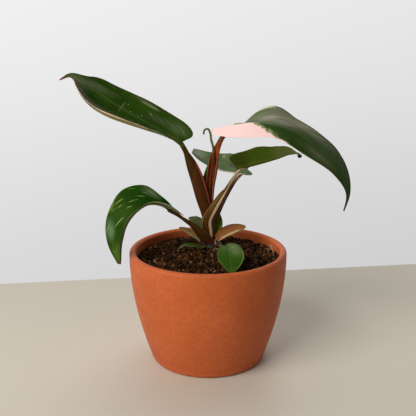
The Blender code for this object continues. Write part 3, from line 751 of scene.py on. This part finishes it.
def lumps(x, y, seed, scale, waves=14):
    """Smooth unevenness between about -1 and 1, from waves in many directions."""
    rng = np.random.default_rng(seed)
    total = np.zeros_like(x)
    for _ in range(waves):
        turn = rng.uniform(0, 2 * pi)
        pitch = scale * rng.uniform(*WAVE_PITCHES)
        start = rng.uniform(0, 2 * pi)
        total += np.sin(2 * pi * (x * cos(turn) + y * sin(turn)) / pitch + start)
    return total / waves**0.5


def bed_height(x, y):
    """The bed lies under the soil's height, uneven by waves of (height, seed, pitch)."""
    uneven = sum(height * lumps(x, y, seed, pitch) for height, seed, pitch in BED_WAVES)
    return soil_height(np.hypot(x, y)) - BED_DEPTH + uneven


def soil_bed(finish):
    """The packed soil under the loose crumbs, down to the pot's floor."""
    edge = inner_radius(SOIL_EDGE) - BED_GAP
    radius = edge * np.linspace(0, 1, SOIL_RINGS + 1)[1:]
    turn = np.linspace(0, 2 * pi, SOIL_SECTORS, endpoint=False)
    x = radius[:, None] * np.cos(turn)
    y = radius[:, None] * np.sin(turn)
    rings = [np.stack([x, y, bed_height(x, y)], axis=2).reshape(-1, 3)]
    low = inner_radius(FLOOR + FOOT_ROUND) - BED_FOOT_GAP
    height = np.full(len(turn), FLOOR + BED_FOOT_RISE)
    foot = [low * np.cos(turn), low * np.sin(turn), height]
    rings.append(np.stack(foot, axis=1))
    centre = [[0, 0, float(bed_height(np.zeros(1), np.zeros(1))[0])]]
    points = np.concatenate([centre, *rings])
    index = 1 + np.arange((SOIL_RINGS + 1) * SOIL_SECTORS).reshape(-1, SOIL_SECTORS)
    faces = ring_faces(index)
    faces += [[0, int(a), int(b)] for a, b in zip(index[0], np.roll(index[0], -1))]
    faces.append(index[-1][::-1].tolist())
    mesh = new_mesh("soil_bed", points, faces)
    store_value(mesh, "tone", np.full(len(points), BED_TONE))
    add_piece("soil_bed", mesh, finish, "potting_soil", "soil")


def ball(subdivisions):
    """Vertices and triangles of a unit ball."""
    builder = bmesh.new()
    bmesh.ops.create_icosphere(builder, subdivisions=subdivisions, radius=1)
    points = np.array([v.co for v in builder.verts])
    faces = np.array([[v.index for v in f.verts] for f in builder.faces])
    builder.free()
    return points, faces


def turns(rng, count):
    """Random rotation matrices, from unit quaternions."""
    w, x, y, z = unit(rng.normal(size=(count, 4))).T
    cross = np.zeros((count, 3, 3))
    cross[:, 0, 1], cross[:, 0, 2], cross[:, 1, 2] = -z, y, -x
    cross = cross - np.swapaxes(cross, 1, 2)
    return np.eye(3) + 2 * w[:, None, None] * cross + 2 * cross @ cross


def crumbs(name, finish, seed, count, sizes, shape, rough, subdivisions, tones, sink=0.25):
    """Irregular grains strewn over the bed. `shape` stretches them along three axes."""
    rng = np.random.default_rng(seed)
    points, faces = ball(subdivisions)
    size = rng.uniform(0, 1, count) ** 2 * (sizes[1] - sizes[0]) + sizes[0]
    reach = inner_radius(SOIL_EDGE) - GRAIN_GAP - size
    radius = reach * np.sqrt(rng.uniform(0, 1, count))
    turn = rng.uniform(0, 2 * pi, count)
    x = radius * np.cos(turn)
    y = radius * np.sin(turn)
    z = bed_height(x, y) + size * rng.uniform(-sink, 1 - sink, count)
    stretch = size[:, None] * np.array(shape) * rng.uniform(*STRETCHES, (count, 3))
    bumps = 1 + rough * rng.normal(size=(count, len(points), 1))
    grains = points[None] * bumps * stretch[:, None, :]
    grains = np.einsum("nij,npj->npi", turns(rng, count), grains)
    grains += np.stack([x, y, z], axis=1)[:, None]
    shift = (np.arange(count) * len(points))[:, None, None]
    mesh = new_mesh(name, grains, (faces + shift).reshape(-1, 3).tolist())
    tone = rng.uniform(tones[0], tones[1], count)
    store_value(mesh, "tone", np.repeat(tone, len(points)))
    add_piece(name, mesh, finish, "potting_soil")


def crown(finish):
    """The short knobbly stem that the stalks stand on."""
    points, faces = ball(CROWN_DETAIL)
    co = points * CROWN_RADIUS
    uneven = lumps(co[:, 0] + co[:, 2], co[:, 1] - co[:, 2], *CROWN_LUMPS)
    co *= (1 + CROWN_UNEVEN * uneven)[:, None]
    co[:, 2] *= np.where(co[:, 2] > 0, CROWN_CAP, CROWN_ROOT)
    co += [*CROWN_PLACE, CROWN_TOP - CROWN_RADIUS * CROWN_CAP]
    mesh = new_mesh("crown_bark", co, faces.tolist())
    add_piece("crown_bark", mesh, finish, "crown", "crown_stem")


def thread(name, path, radius, finish):
    """A root string or husk thread along a path in millimetres, finer at both ends."""
    share = np.linspace(0, 1, THREAD_RINGS)
    line = smooth_line(path, share)
    side, face = moving_frame(unit(np.gradient(line, axis=0)), (0.1, 0.2, 1))
    size = radius * (1 - THREAD_TAPER * np.abs(2 * share - 1) ** 3)
    turn = np.linspace(0, 2 * pi, THREAD_SIDES, endpoint=False)[:, None]
    ring = np.cos(turn) * side[:, None] + np.sin(turn) * face[:, None]
    rings = line[:, None] + size[:, None, None] * ring
    add_piece(name, tube(name, rings, turned=True), finish, "potting_soil")


def flake(name, centre, size, turn):
    """A small flat chip, in millimetres, lying on the soil."""
    points, faces = ball(CHIP_DETAIL)
    squared = np.sign(points) * np.abs(points) ** CHIP_SQUARENESS * size
    spin = np.array([[cos(turn), -sin(turn), 0], [sin(turn), cos(turn), 0], [0, 0, 1]])
    mesh = new_mesh(name, (squared @ spin.T + centre) * MM, faces.tolist())
    add_piece(name, mesh, grainy(name), "potting_soil")


# ---- materials ----

class Nodes:
    """Short calls that add nodes to a material or a world."""

    def __init__(self, owner):
        owner.use_nodes = True
        self.nodes = owner.node_tree.nodes
        self.links = owner.node_tree.links

    def put(self, socket, value):
        if isinstance(value, bpy.types.NodeSocket):
            self.links.new(value, socket)
        elif isinstance(value, tuple) and len(value) == 3 and socket.type == "RGBA":
            socket.default_value = (*value, 1)
        else:
            socket.default_value = value

    def node(self, kind, settings=None, **inputs):
        made = self.nodes.new(kind)
        for key, value in (settings or {}).items():
            setattr(made, key, value)
        for key, value in inputs.items():
            self.put(made.inputs[key.replace("_", " ")], value)
        return made

    def math(self, operation, *values):
        made = self.node("ShaderNodeMath", {"operation": operation})
        for socket, value in zip(made.inputs, values):
            self.put(socket, value)
        return made.outputs[0]

    def plus(self, first, second):
        return self.math("ADD", first, second)

    def minus(self, first, second):
        return self.math("SUBTRACT", first, second)

    def times(self, first, second):
        return self.math("MULTIPLY", first, second)

    def step(self, value, low, high, start=0.0, end=1.0):
        """Moves smoothly from start to end as the value goes from low to high."""
        settings = {"interpolation_type": "SMOOTHSTEP"}
        made = self.node("ShaderNodeMapRange", settings, Value=value, From_Min=low,
                         From_Max=high, To_Min=start, To_Max=end)
        return made.outputs["Result"]

    def mix(self, share, first, second):
        made = self.node("ShaderNodeMix", {"data_type": "RGBA"})
        sockets = [s for s in made.inputs if s.enabled]
        for socket, value in zip(sockets, (share, first, second)):
            self.put(socket, value)
        return next(s for s in made.outputs if s.enabled)

    def cover(self, share, colours, layer):
        """Lays one more colour over each of the colours."""
        return [self.mix(share, colour, layer) for colour in colours]

    def noise(self, scale, detail, vector=None):
        """Noise over `vector`, or over the point's place in metres."""
        vector = vector or self.node("ShaderNodeTexCoord").outputs["Object"]
        made = self.node("ShaderNodeTexNoise", Scale=scale, Detail=detail, Vector=vector)
        return made.outputs["Fac"]

    def attribute(self, name):
        return self.node("ShaderNodeAttribute", {"attribute_name": name}).outputs["Fac"]

    def uv(self, name):
        source = self.node("ShaderNodeUVMap", {"uv_map": name}).outputs["UV"]
        split = self.node("ShaderNodeSeparateXYZ", Vector=source)
        return split.outputs["X"], split.outputs["Y"]

    def vector(self, x, y, z=0.0):
        return self.node("ShaderNodeCombineXYZ", X=x, Y=y, Z=z).outputs["Vector"]


class Finish(Nodes):
    """One Principled material."""

    def __init__(self, name, roughness=0.5):
        self.material = bpy.data.materials.new(name)
        super().__init__(self.material)
        self.shader = self.nodes["Principled BSDF"]
        self.shader.inputs["Roughness"].default_value = roughness

    def bump(self, height, distance):
        made = self.node("ShaderNodeBump", Height=height, Distance=distance)
        self.put(self.shader.inputs["Normal"], made.outputs["Normal"])

    def colour(self, value):
        self.put(self.shader.inputs["Base Color"], value)

    def roughness(self, value):
        self.put(self.shader.inputs["Roughness"], value)

    def shine(self, level, tint=(1, 1, 1)):
        self.shader.inputs["Specular IOR Level"].default_value = level
        self.shader.inputs["Specular Tint"].default_value = (*tint, 1)


def terracotta():
    f = Finish("terracotta", 0.6)
    broad = f.noise(28, 3)
    fine = f.noise(900, 3)
    base = f.mix(f.step(broad, 0.3, 0.7), (0.5, 0.105, 0.026), (0.57, 0.13, 0.036))
    mottle = f.step(f.noise(330, 4), 0.35, 0.65, 0, 0.6)
    base = f.mix(mottle, base, (0.44, 0.09, 0.024))
    speck = f.step(fine, 0.55, 0.72, 0, 0.5)
    base = f.mix(speck, base, (0.38, 0.075, 0.02))
    dust = f.step(f.noise(240, 4), 0.55, 0.8, 0, 0.1)
    f.colour(f.mix(dust, base, (0.7, 0.27, 0.13)))
    f.roughness(f.step(f.noise(120, 3), 0.3, 0.7, 0.5, 0.62))
    f.shine(0.3, WARM)
    f.bump(f.plus(f.noise(1400, 3), f.times(broad, 1.5)), 0.00012)
    return f


def earth():
    f = Finish("earth", 0.95)
    tone = f.attribute("tone")
    grain = f.noise(1500, 4)
    level = f.plus(tone, f.times(f.minus(grain, 0.5), 0.5))
    dark = f.mix(f.step(level, 0.1, 0.6), (0.005, 0.002, 0.0003), (0.046, 0.018, 0.004))
    light = f.mix(f.step(level, 0.6, 0.95), dark, (0.23, 0.09, 0.026))
    f.colour(light)
    f.shine(0.08)
    f.bump(grain, 0.0004)
    return f


def chips():
    f = Finish("bark_chips", 0.85)
    tone = f.attribute("tone")
    grain = f.noise(900, 4)
    base = f.mix(tone, (0.11, 0.045, 0.022), (0.36, 0.15, 0.07))
    f.colour(f.mix(f.step(grain, 0.35, 0.75), base, (0.05, 0.02, 0.01)))
    f.bump(grain, 0.0003)
    return f


def grainy(name):
    """Two shades in a fine grain that also stands up."""
    row = GRAINY[name]
    f = Finish(name, row["rough"])
    grain = f.noise(*row["grain"])
    f.colour(f.mix(f.step(grain, 0.3, 0.7), row["dark"], row["light"]))
    f.bump(grain, row["relief"])
    return f


def patch(f, along, across, spot, ragged, outer, inner):
    """Share of an oval patch; it fades from the outer to the inner rim, moved by `ragged`."""
    u, a, length, width = spot
    du = f.math("DIVIDE", f.minus(along, u), length)
    da = f.math("DIVIDE", f.minus(across, a), width)
    far = f.math("SQRT", f.plus(f.math("POWER", du, 2.0), f.math("POWER", da, 2.0)))
    return f.step(f.plus(far, ragged), outer, inner)


def zone(f, along, across, look, ragged):
    """A pale first stretch of one half of the blade, and a fringe past its ragged end."""
    place = f.minus(along, f.times(across, look["slant"]))
    place = f.plus(place, f.times(ragged, 0.12))
    half = f.step(across, look["from"] - 0.02, look["from"] + 0.02)
    end = look["end"]
    inside = f.times(half, f.step(place, end + 0.004, end - 0.004))
    fringe = f.times(half, f.step(place, end + look["fringe"], end))
    return inside, fringe


def edge_band(f, along, across, sign, start, end, width):
    """Share of a coloured margin on one edge, from one place along the blade to another."""
    blur = min(0.4 * width, 0.08)
    edge = f.step(f.times(across, float(sign)), 1 - width, 1 - width + blur)
    grow = f.step(along, start, start + 0.05)
    return f.times(edge, f.times(grow, f.step(along, end + 0.05, end)))


def leaf_finish(name, look):
    """Waxy green with side veins, a pale midrib, coloured edges and patches, with painted sheen and a
    painted highlight.
    """
    f = Finish(name, look.gloss)
    along, across01 = f.uv("leaf")
    across = f.minus(f.times(across01, 2.0), 1.0)
    off = f.math("ABSOLUTE", across)
    under = f.attribute("underside")

    swept = f.minus(along, f.times(off, look.sweep / look.veins))
    wobble = f.times(f.minus(f.noise(90, 2), 0.5), 0.012)
    phase = f.times(f.plus(swept, wobble), 2 * pi * look.veins)
    vein = f.step(f.math("COSINE", phase), 0.55, 1.0)
    fine = f.step(f.math("COSINE", f.times(phase, 3.0)), 0.4, 1.0)

    mottle = f.step(f.noise(55, 4), 0.3, 0.7)
    green = f.mix(mottle, look.dark, look.green)
    green = f.mix(f.times(fine, 0.05), green, look.vein)
    green = f.mix(f.times(vein, 0.14), green, look.vein)
    # Streaks along the veins in the pale colour: painted sheen.
    run = f.vector(f.times(swept, 26.0), f.times(across, 3.0))
    streak = f.noise(1.0, 3, run)
    green = f.mix(f.step(streak, 0.58, 0.72, 0, look.streak), green, look.pale)
    below = f.mix(mottle, look.under, look.under_pale)
    below = f.mix(f.times(vein, 0.25), below, look.under_pale)
    if look.under_far:
        below = f.mix(f.step(across, -0.15, 0.05), below, look.under_far)
    base_end = look.under_from
    below = f.mix(f.step(along, base_end, base_end - 0.1), below, look.under_base)
    below = f.mix(f.step(along, look.under_to, look.under_to + 0.2), below, look.under_end)

    ragged = f.minus(f.noise(330, 3), 0.5)
    # Painted sheen: lighter spots, broken up by the streaks along the veins, where the gloss would catch
    # light.
    for spot, colour in look.glows:
        mask = patch(f, along, across, spot, 0.0, 1.2, 0.0)
        mask = f.times(mask, f.step(streak, 0.35, 0.62, 0.35, 1.0))
        green = f.mix(mask, green, colour)
    for spot, colour in look.patches:
        mask = patch(f, along, across, spot, f.times(ragged, 0.6), 1.35, 0.7)
        green = f.mix(mask, green, colour)
        below = f.mix(f.times(mask, 0.8), below, colour)
    for spot, colour in look.flecks:
        mask = patch(f, swept, across, spot, f.times(ragged, 0.6), 1.3, 0.8)
        green = f.mix(mask, green, colour)
    rib = f.step(off, look.rib, look.rib * 0.3)
    rib = f.times(rib, look.rib_share)
    green = f.mix(rib, green, look.rib_colour)
    if look.zone:
        inside, fringe = zone(f, along, across, look.zone, ragged)
        green, below = f.cover(fringe, (green, below), look.zone["fringe_colour"])
        green, below = f.cover(inside, (green, below), look.zone["colour"])

    keel = f.step(off, 0.09, 0.03)
    below = f.mix(f.times(keel, 0.8), below, look.keel_colour)
    rim = f.times(f.step(off, 0.965, 0.99), look.rim_share)
    green, below = f.cover(rim, (green, below), look.rim)
    for *margin, colour in look.margins:
        band = edge_band(f, along, across, *margin)
        green, below = f.cover(band, (green, below), colour)
    tip = f.step(along, look.tip_from, look.tip_from + 0.015)
    f.colour(f.mix(tip, f.mix(under, green, below), look.tip))

    grain = f.noise(1600, 3)
    worn = f.plus(look.gloss - 0.05, f.times(f.noise(70, 3), 0.14))
    f.roughness(f.plus(worn, f.times(under, 0.15)))
    height = f.plus(f.times(vein, -0.2), f.times(fine, -0.06))
    f.bump(f.plus(height, f.times(grain, 0.12)), 0.00012)
    f.shine(look.shine, WAX)
    return f


def stalk_finish(name, look):
    """Satin skin with fine lines along it and a coloured margin on each sheath edge."""
    f = Finish(name, look.gloss)
    along, round_it = f.uv("stalk")
    inner = f.attribute("inner")
    turn = f.minus(f.times(round_it, 2.0), 1.0)
    lines = f.vector(f.times(along, 3.0), f.times(round_it, 26.0), inner)
    line = f.noise(1.0, 3, lines)
    body = f.mix(f.step(line, 0.35, 0.65), look.dark, look.body)
    body = f.mix(f.step(f.noise(130, 3), 0.5, 0.75, 0, 0.5), body, look.light)
    place = f.plus(along, f.times(f.plus(turn, 1.0), look.slant))
    body = f.mix(f.step(place, look.top_from, look.top_to), body, look.top)
    base_to = look.base_to
    body = f.mix(f.step(along, base_to, base_to - 0.16), body, look.base)
    # Stripes of painted shade and painted highlight along the rod.
    for (middle, slide, width, start), colour in look.stripes:
        run = f.plus(round_it, f.times(along, slide))
        near = f.math("ABSOLUTE", f.minus(run, middle))
        painted_stripe = f.times(f.step(near, width, width * 0.75), f.step(along, start, start + 0.08))
        body = f.mix(f.times(painted_stripe, f.minus(1.0, inner)), body, colour)
    inside = f.mix(f.step(line, 0.35, 0.65), look.inside_dark, look.inside)
    sheath_end, fade = look.sheath
    sheath = f.step(place, sheath_end, sheath_end - fade)
    body = f.mix(f.times(inner, sheath), body, inside)
    for sign, width in ((-1, look.margin_left), (1, look.margin_right)):
        band = f.step(f.times(turn, float(sign)), 1 - width, 1 - width * 0.7)
        body = f.mix(f.times(band, sheath), body, look.margin)
    if look.under_leaf:
        body = f.mix(f.step(along, 0.88, 0.92), body, look.under_leaf)
    f.colour(body)
    f.shine(look.shine, WAX)
    f.bump(line, 0.0002)
    return f


# ---- stage ----

TABLE_BACK = ((-0.2286, 0.1624), (0.2477, 0.228))
TABLE_REACH = 3.0
TABLE_COLOUR = (0.61, 0.55, 0.445)
WALL_COLOUR = (1.0, 0.992, 0.997)
WALL_LEVELS = (0.64, 0.86)
WALL_SLANT = 0.13
FRONT_SHARE = 0.08
BACK_SHARE = 0.85
LAMPS = {
    "key": dict(place=(-0.85, -0.9, 0.95), size=1.0, power=23.5),
    "fill": dict(place=(0.8, -1.4, 0.5), size=1.5, power=1.7),
    "back": dict(place=(0.225, 0.68, 1.04), size=0.55, power=1.8),
}
LAMP_AIM = (0, 0, 0.12)


def camera():
    data = bpy.data.cameras.new("camera")
    data.sensor_width = SENSOR
    data.lens = CAMERA_LENS
    data.clip_start = NEAREST
    obj = add_object("camera", data)
    obj.location = CAMERA_PLACE
    obj.rotation_euler = (radians(90 - CAMERA_DOWN), 0, 0)
    bpy.context.scene.camera = obj


def table():
    """A table top whose back edge lies behind the pot."""
    (left_x, left_y), (right_x, right_y) = TABLE_BACK
    slope = (right_y - left_y) / (right_x - left_x)
    corners = [
        (-TABLE_REACH, -TABLE_REACH, 0),
        (TABLE_REACH, -TABLE_REACH, 0),
        (TABLE_REACH, right_y + slope * (TABLE_REACH - right_x), 0),
        (-TABLE_REACH, left_y - slope * (TABLE_REACH + left_x), 0),
    ]
    mesh = new_mesh("table_top", corners, [(0, 1, 2, 3)])
    f = Finish("table", 0.5)
    tone = f.step(f.noise(3, 2), 0.3, 0.7)
    f.colour(f.mix(tone, TABLE_COLOUR, tuple(0.97 * c for c in TABLE_COLOUR)))
    mesh.materials.append(f.material)
    obj = add_object("table_top", mesh)


def world():
    """A pale wall, brighter at the top and left; the room in front of it is dim."""
    scene = bpy.context.scene
    scene.world = bpy.data.worlds.new("studio")
    w = Nodes(scene.world)
    direction = w.node("ShaderNodeTexCoord").outputs["Generated"]
    split = w.node("ShaderNodeSeparateXYZ", Vector=direction)
    level = w.step(split.outputs["Z"], -0.45, 0.12, *WALL_LEVELS)
    level = w.minus(level, w.times(split.outputs["X"], WALL_SLANT))
    seen = w.node("ShaderNodeLightPath").outputs["Is Camera Ray"]
    front = w.step(split.outputs["Y"], 0.0, 0.5, FRONT_SHARE, BACK_SHARE)
    background = w.nodes["Background"]
    w.put(background.inputs["Color"], WALL_COLOUR)
    w.put(background.inputs["Strength"], w.times(level, w.math("MAXIMUM", front, seen)))
    scene.view_settings.view_transform = "Standard"


def lights():
    for name, lamp in LAMPS.items():
        data = bpy.data.lights.new(name, "AREA")
        data.size = lamp["size"]
        data.energy = lamp["power"]
        obj = add_object(name, data)
        obj.location = lamp["place"]
        towards = Vector(LAMP_AIM) - obj.location
        obj.rotation_euler = towards.to_track_quat("-Z", "Y").to_euler()


def plant():
    for base, rows in ((LEAF, LEAVES), (SCALE, SCALES)):
        for node, row in rows.items():
            leaf = SimpleNamespace(**{**base, **row})
            slot = "bud_scale" if node.endswith("scale") else "leaf"
            blade(node, leaf, leaf_finish(node, leaf), slot)
    for node, row in STALKS.items():
        data = SimpleNamespace(**{**STALK, **row})
        leaf = LEAVES.get(node.replace("_stalk", "_leaf"))
        slot = "leaf_stalk" if leaf else "young_shoot"
        stalk(node, data, stalk_finish(node, data), slot, leaf)


def pot_and_soil():
    soil = earth()
    pot(terracotta())
    soil_bed(soil)
    crown(grainy("crown"))
    crumbs("soil_clods", soil, **GRAINS["soil_clods"])
    crumbs("soil_crumbs", soil, **GRAINS["soil_crumbs"])
    husk = grainy("husk")
    for number, (radius, path) in enumerate(THREADS, 1):
        thread(f"root_string_{number}", path, radius, husk)
    flake("teal_chip", *TEAL_CHIP)
    flake("green_shred", *GREEN_SHRED)
    crumbs("bark_chips", chips(), **GRAINS["bark_chips"])


def main():
    camera()
    world()
    lights()
    table()
    pot_and_soil()
    plant()


main()
